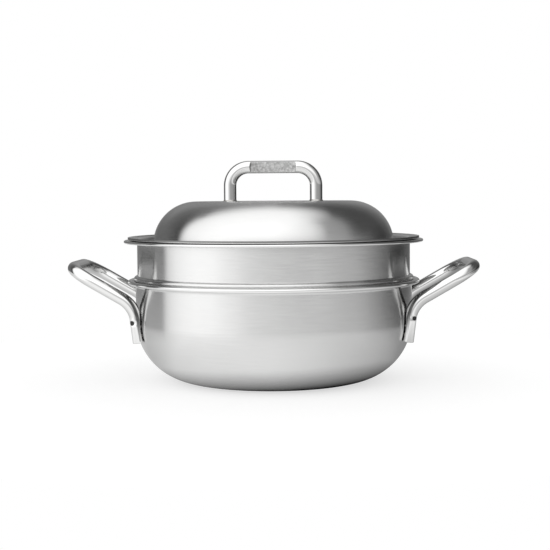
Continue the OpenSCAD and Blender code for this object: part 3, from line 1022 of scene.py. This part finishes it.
def studio_world():
    """White to the camera. Metal sees the studio round it: white boxes and the grey gaps between them."""
    world = bpy.data.worlds.new("studio")
    bpy.context.scene.world = world
    world.cycles.sampling_method = "NONE"
    tree = node_tree(world)
    output = add(tree, "ShaderNodeOutputWorld")
    direction = add(tree, "ShaderNodeSeparateXYZ")
    tree.links.new(add(tree, "ShaderNodeTexCoord").outputs["Generated"], direction.inputs["Vector"])
    x, y, z = direction.outputs
    turn = azimuth_of(tree, x, y)
    height = math_node(tree, "MULTIPLY", z, z)
    drawn_in = math_node(tree, "ADD", math_node(tree, "MULTIPLY", height, -PANEL_SPREAD), 1.0)
    moved = math_node(tree, "MULTIPLY", height, PANEL_SHIFT)
    panel_turn = math_node(tree, "SUBTRACT", math_node(tree, "MULTIPLY", turn, drawn_in), moved)
    low = map_range(tree, z, *GROUND_TO_LOW, 0.0, 1.0)
    studio = mix_colour(tree, low, level_ramp(tree, turn, GROUND_RING), level_ramp(tree, turn, LOW_RING))
    panel = map_range(tree, z, *LOW_TO_PANEL, 0.0, 1.0)
    studio = mix_colour(tree, panel, studio, level_ramp(tree, panel_turn, PANEL_RING))
    leaning = math_node(tree, "SUBTRACT", z, math_node(tree, "MULTIPLY", x, OVERHEAD_LEAN))
    above = map_range(tree, leaning, *PANEL_TO_TOP, 0.0, 1.0)
    studio = mix_colour(tree, above, studio, (OVERHEAD, OVERHEAD, OVERHEAD, 1))
    off_horizon = math_node(tree, "ABSOLUTE", math_node(tree, "SUBTRACT", z, HORIZON_RISE))
    near_horizon = map_range(tree, off_horizon, *HORIZON_WIDTH, HORIZON_SHADE, 0.0)
    shade = math_node(tree, "MULTIPLY", near_horizon, map_range(tree, turn, *HORIZON_TURN, 0.0, 1.0))
    studio = mix_colour(tree, shade, studio, BLACK)
    from_camera, mirrored = ray_kinds(tree)
    seen = mix_shader(tree, mirrored, background(tree, WHITE, FILL_LEVEL), background(tree, studio, 1.0))
    shown = mix_shader(tree, from_camera, seen, background(tree, WHITE, 1.0))
    tree.links.new(shown, output.inputs["Surface"])


# Table top, in metres: its radius, its colour, and its glow to the camera
FLOOR_R = 0.42
FLOOR_COLOUR = (0.45, 0.45, 0.45, 1)
FLOOR_GLOW = 0.65
# Light on the table top as metal mirrors it, as a ring round the object like those of the studio
TABLE_RING = [(-180, 0.50), (-100, 0.74), (-80, 0.93), (-60, 1.19), (-40, 1.20), (-20, 1.15), (0, 1.12),
              (40, 0.90), (60, 0.80), (80, 0.64), (100, 0.42), (130, 0.28), (180, 0.50)]
# The same further out, and the distances between which it comes in
FAR_RING = [(-180, 0.50), (-100, 0.95), (-80, 1.05), (-60, 1.19), (-40, 1.20), (-20, 1.15), (0, 1.14),
            (40, 1.25), (60, 1.22), (80, 1.05), (100, 0.74), (130, 0.45), (180, 0.50)]
FAR_FADE = (0.27, 0.38)
# Distances at which the light is gone and full, from a middle this far to the right of the base's
BASE_FADE = (0.080, 0.118)
BASE_FADE_X = 0.0065
# Shade of the handles to the left and right of the base, and the distances between which it goes
HANDLE_SHADE = 0.28
HANDLE_FADE = (0.11, 0.20)


def table_light(tree):
    """Level of the light on the table top at each place."""
    place = add(tree, "ShaderNodeSeparateXYZ")
    tree.links.new(add(tree, "ShaderNodeTexCoord").outputs["Object"], place.inputs["Vector"])
    x, y, _ = place.outputs

    def distance(across):
        squares = [math_node(tree, "MULTIPLY", part, part) for part in (across, y)]
        return math_node(tree, "SQRT", math_node(tree, "ADD", *squares))

    turn, out = azimuth_of(tree, x, y), distance(x)
    far = map_range(tree, out, *FAR_FADE, 0.0, 1.0)
    light = mix_colour(tree, far, level_ramp(tree, turn, TABLE_RING), level_ramp(tree, turn, FAR_RING))
    base = map_range(tree, distance(math_node(tree, "SUBTRACT", x, BASE_FADE_X)), *BASE_FADE, 0.0, 1.0)
    sideways = math_node(tree, "POWER", math_node(tree, "DIVIDE", x, out), 2.0)
    near = map_range(tree, out, *HANDLE_FADE, -HANDLE_SHADE, 0.0)
    handles = math_node(tree, "ADD", math_node(tree, "MULTIPLY", sideways, near), 1.0)
    return math_node(tree, "MULTIPLY", math_node(tree, "MULTIPLY", light, base), handles)


def studio_floor():
    """A pale round table top, white to the camera but for the object's shadow."""
    mesh = bpy.data.meshes.new("floor")
    rim = [polar((0, 0), FLOOR_R, 360 * k / TURN_STEPS) for k in range(TURN_STEPS)]
    mesh.from_pydata([(x, y, 0) for x, y in rim], [], [list(range(TURN_STEPS))])
    floor = bpy.data.objects.new("floor", mesh)
    bpy.context.scene.collection.objects.link(floor)
    material = bpy.data.materials.new("pale_floor")
    tree = node_tree(material)
    output = add(tree, "ShaderNodeOutputMaterial")
    diffuse = add(tree, "ShaderNodeBsdfDiffuse", Color=FLOOR_COLOUR)
    glow = add(tree, "ShaderNodeEmission", Color=WHITE)
    from_camera, mirrored = ray_kinds(tree)
    tree.links.new(math_node(tree, "MULTIPLY", from_camera, FLOOR_GLOW), glow.inputs["Strength"])
    both = add(tree, "ShaderNodeAddShader")
    tree.links.new(diffuse.outputs["BSDF"], both.inputs[0])
    tree.links.new(glow.outputs["Emission"], both.inputs[1])
    # Metal mirrors a glow with the table top's light and shadow painted into it, from table_light
    lit = add(tree, "ShaderNodeEmission", Color=WHITE)
    tree.links.new(table_light(tree), lit.inputs["Strength"])
    seen = mix_shader(tree, mirrored, both.outputs["Shader"], lit.outputs["Emission"])
    tree.links.new(seen, output.inputs["Surface"])
    mesh.materials.append(material)


# The photograph's camera, in metres and degrees. Its azimuth is taken from -Y towards +X.
CAMERA_DISTANCE = 1.1012
CAMERA_HEIGHT = 0.1642
CAMERA_AZIMUTH = 1.5
CAMERA_PITCH = 86.303
CAMERA_ROLL = -0.42
CAMERA_SHIFT_X = 0.00234
# Its lens and sensor, in millimetres, and the depths that it sees, in metres
CAMERA_LENS = 80.95
CAMERA_SENSOR = 36.0
CAMERA_NEAR = 0.05
CAMERA_FAR = 50.0


def photo_camera():
    data = bpy.data.cameras.new("photo_camera")
    data.lens = CAMERA_LENS
    data.sensor_width = CAMERA_SENSOR
    data.shift_x = CAMERA_SHIFT_X
    data.clip_start = CAMERA_NEAR
    data.clip_end = CAMERA_FAR
    camera = bpy.data.objects.new("photo_camera", data)
    bpy.context.scene.collection.objects.link(camera)
    turn = Matrix.Rotation(math.radians(CAMERA_AZIMUTH), 4, "Z")
    pitch = Matrix.Rotation(math.radians(CAMERA_PITCH), 4, "X")
    roll = Matrix.Rotation(math.radians(CAMERA_ROLL), 4, "Z")
    camera.matrix_world = turn @ Matrix.Translation((0, -CAMERA_DISTANCE, CAMERA_HEIGHT)) @ pitch @ roll
    bpy.context.scene.camera = camera


studio_world()
studio_floor()
photo_camera()
bpy.context.scene.view_settings.view_transform = "Standard"
